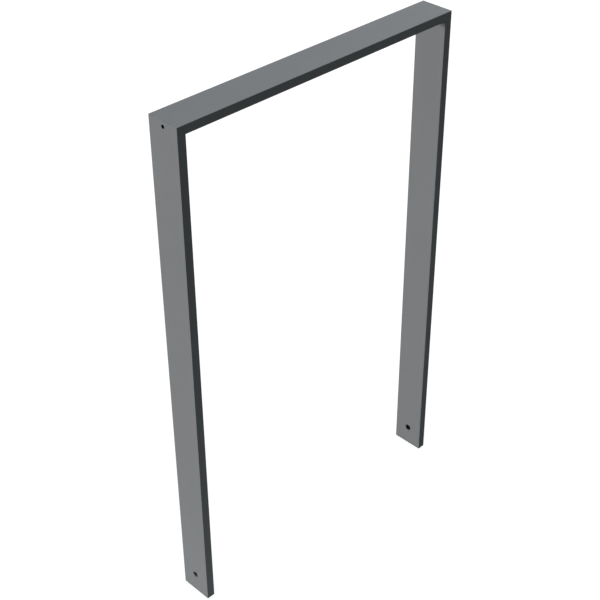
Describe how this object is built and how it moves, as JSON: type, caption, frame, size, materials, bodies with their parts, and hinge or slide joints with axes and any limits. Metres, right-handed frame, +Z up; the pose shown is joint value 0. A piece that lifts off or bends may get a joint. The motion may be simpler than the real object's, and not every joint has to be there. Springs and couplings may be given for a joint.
{
  "type": "security gate",
  "caption": "Walk-through portal of flat channel section: two legs and a beam that hold antennas, a reader, leads and a sounder behind covers.",
  "frame": {"origin": "on the floor, midway between the legs and in the middle of their section", "axes": "+X across the passage from the left leg to the right leg, +Y through the passage, +Z up"},
  "size_m": [1.2512, 0.132, 2],
  "materials": {
    "frame_coating": "dark grey fine matte powder coat",
    "cover_plastic": "dark grey, matched to the powder coat",
    "black_rubber": "matte black",
    "plug_plastic": "black, lightly textured",
    "black_steel": "black oxide",
    "zinc_steel": "zinc plated",
    "bright_steel": "bright stainless",
    "block_aluminium": "milled",
    "block_black": "black anodised",
    "plate_aluminium": "plain mill sheet",
    "patch_copper": "dull copper sheet",
    "board_laminate": "green solder mask",
    "terminal_brass": "turned",
    "nylon_white": "natural nylon",
    "clip_nylon": "light grey nylon",
    "reader_coating": "black matte coat",
    "reader_aluminium": "grey anodised, finned",
    "magnet_nickel": "nickel plated",
    "sounder_plastic": "black",
    "lead_jacket": "smooth black jacket"
  },
  "bodies": {
    "gate": {"beam_channel": "frame_coating", "beam_cover": "cover_plastic", "beam_lead_clips": "clip_nylon", "beam_nuts": "zinc_steel", "beam_screws": "bright_steel", "left_antenna_patches": "patch_copper", "left_antenna_posts": "nylon_white", "left_antenna_terminals": "terminal_brass", "left_beam_end_block": "block_aluminium", "left_cable_sleeve": "frame_coating", "left_catch_brackets": "zinc_steel", "left_corner_screw": "black_steel", "left_feed_boards": "board_laminate", "left_foot_bracket": "zinc_steel", "left_foot_pad": "black_rubber", "left_lead_clips": "clip_nylon", "left_leg_channel": "frame_coating", "left_leg_corner_block": "block_black", "left_leg_nuts": "zinc_steel", "left_leg_screws": "bright_steel", "left_lower_coax": "lead_jacket", "left_lower_ground_plate": "plate_aluminium", "left_upper_coax": "lead_jacket", "left_upper_cover": "cover_plastic", "left_upper_ground_plate": "plate_aluminium", "network_jack": "magnet_nickel", "reader_board": "board_laminate", "reader_housing": "reader_coating", "reader_jacks": "terminal_brass", "reader_lid": "reader_aluminium", "reader_lid_screws": "bright_steel", "right_antenna_patches": "patch_copper", "right_antenna_posts": "nylon_white", "right_antenna_terminals": "terminal_brass", "right_beam_end_block": "block_aluminium", "right_cable_sleeve": "frame_coating", "right_catch_brackets": "zinc_steel", "right_corner_screw": "black_steel", "right_feed_boards": "board_laminate", "right_foot_bracket": "zinc_steel", "right_foot_pad": "black_rubber", "right_lead_clips": "clip_nylon", "right_leg_channel": "frame_coating", "right_leg_corner_block": "block_black", "right_leg_nuts": "zinc_steel", "right_leg_screws": "bright_steel", "right_lower_coax": "lead_jacket", "right_lower_ground_plate": "plate_aluminium", "right_sleeve_plug": "plug_plastic", "right_upper_coax": "lead_jacket", "right_upper_cover": "cover_plastic", "right_upper_ground_plate": "plate_aluminium", "sounder": "sounder_plastic", "sounder_lead": "lead_jacket"},
    "left_service_cover": {"left_service_cover": "cover_plastic", "left_cover_magnets": "magnet_nickel", "left_inner_plug": "plug_plastic"},
    "right_service_cover": {"right_service_cover": "cover_plastic", "right_cover_magnets": "magnet_nickel", "right_inner_plug": "plug_plastic"}
  },
  "joints": [
    {"name": "left_cover_pull", "type": "slide", "parent": "gate", "child": "left_service_cover", "axis": [1, 0, 0], "range_m": [0, 0.2]},
    {"name": "right_cover_pull", "type": "slide", "parent": "gate", "child": "right_service_cover", "axis": [-1, 0, 0], "range_m": [0, 0.2]}
  ]
}
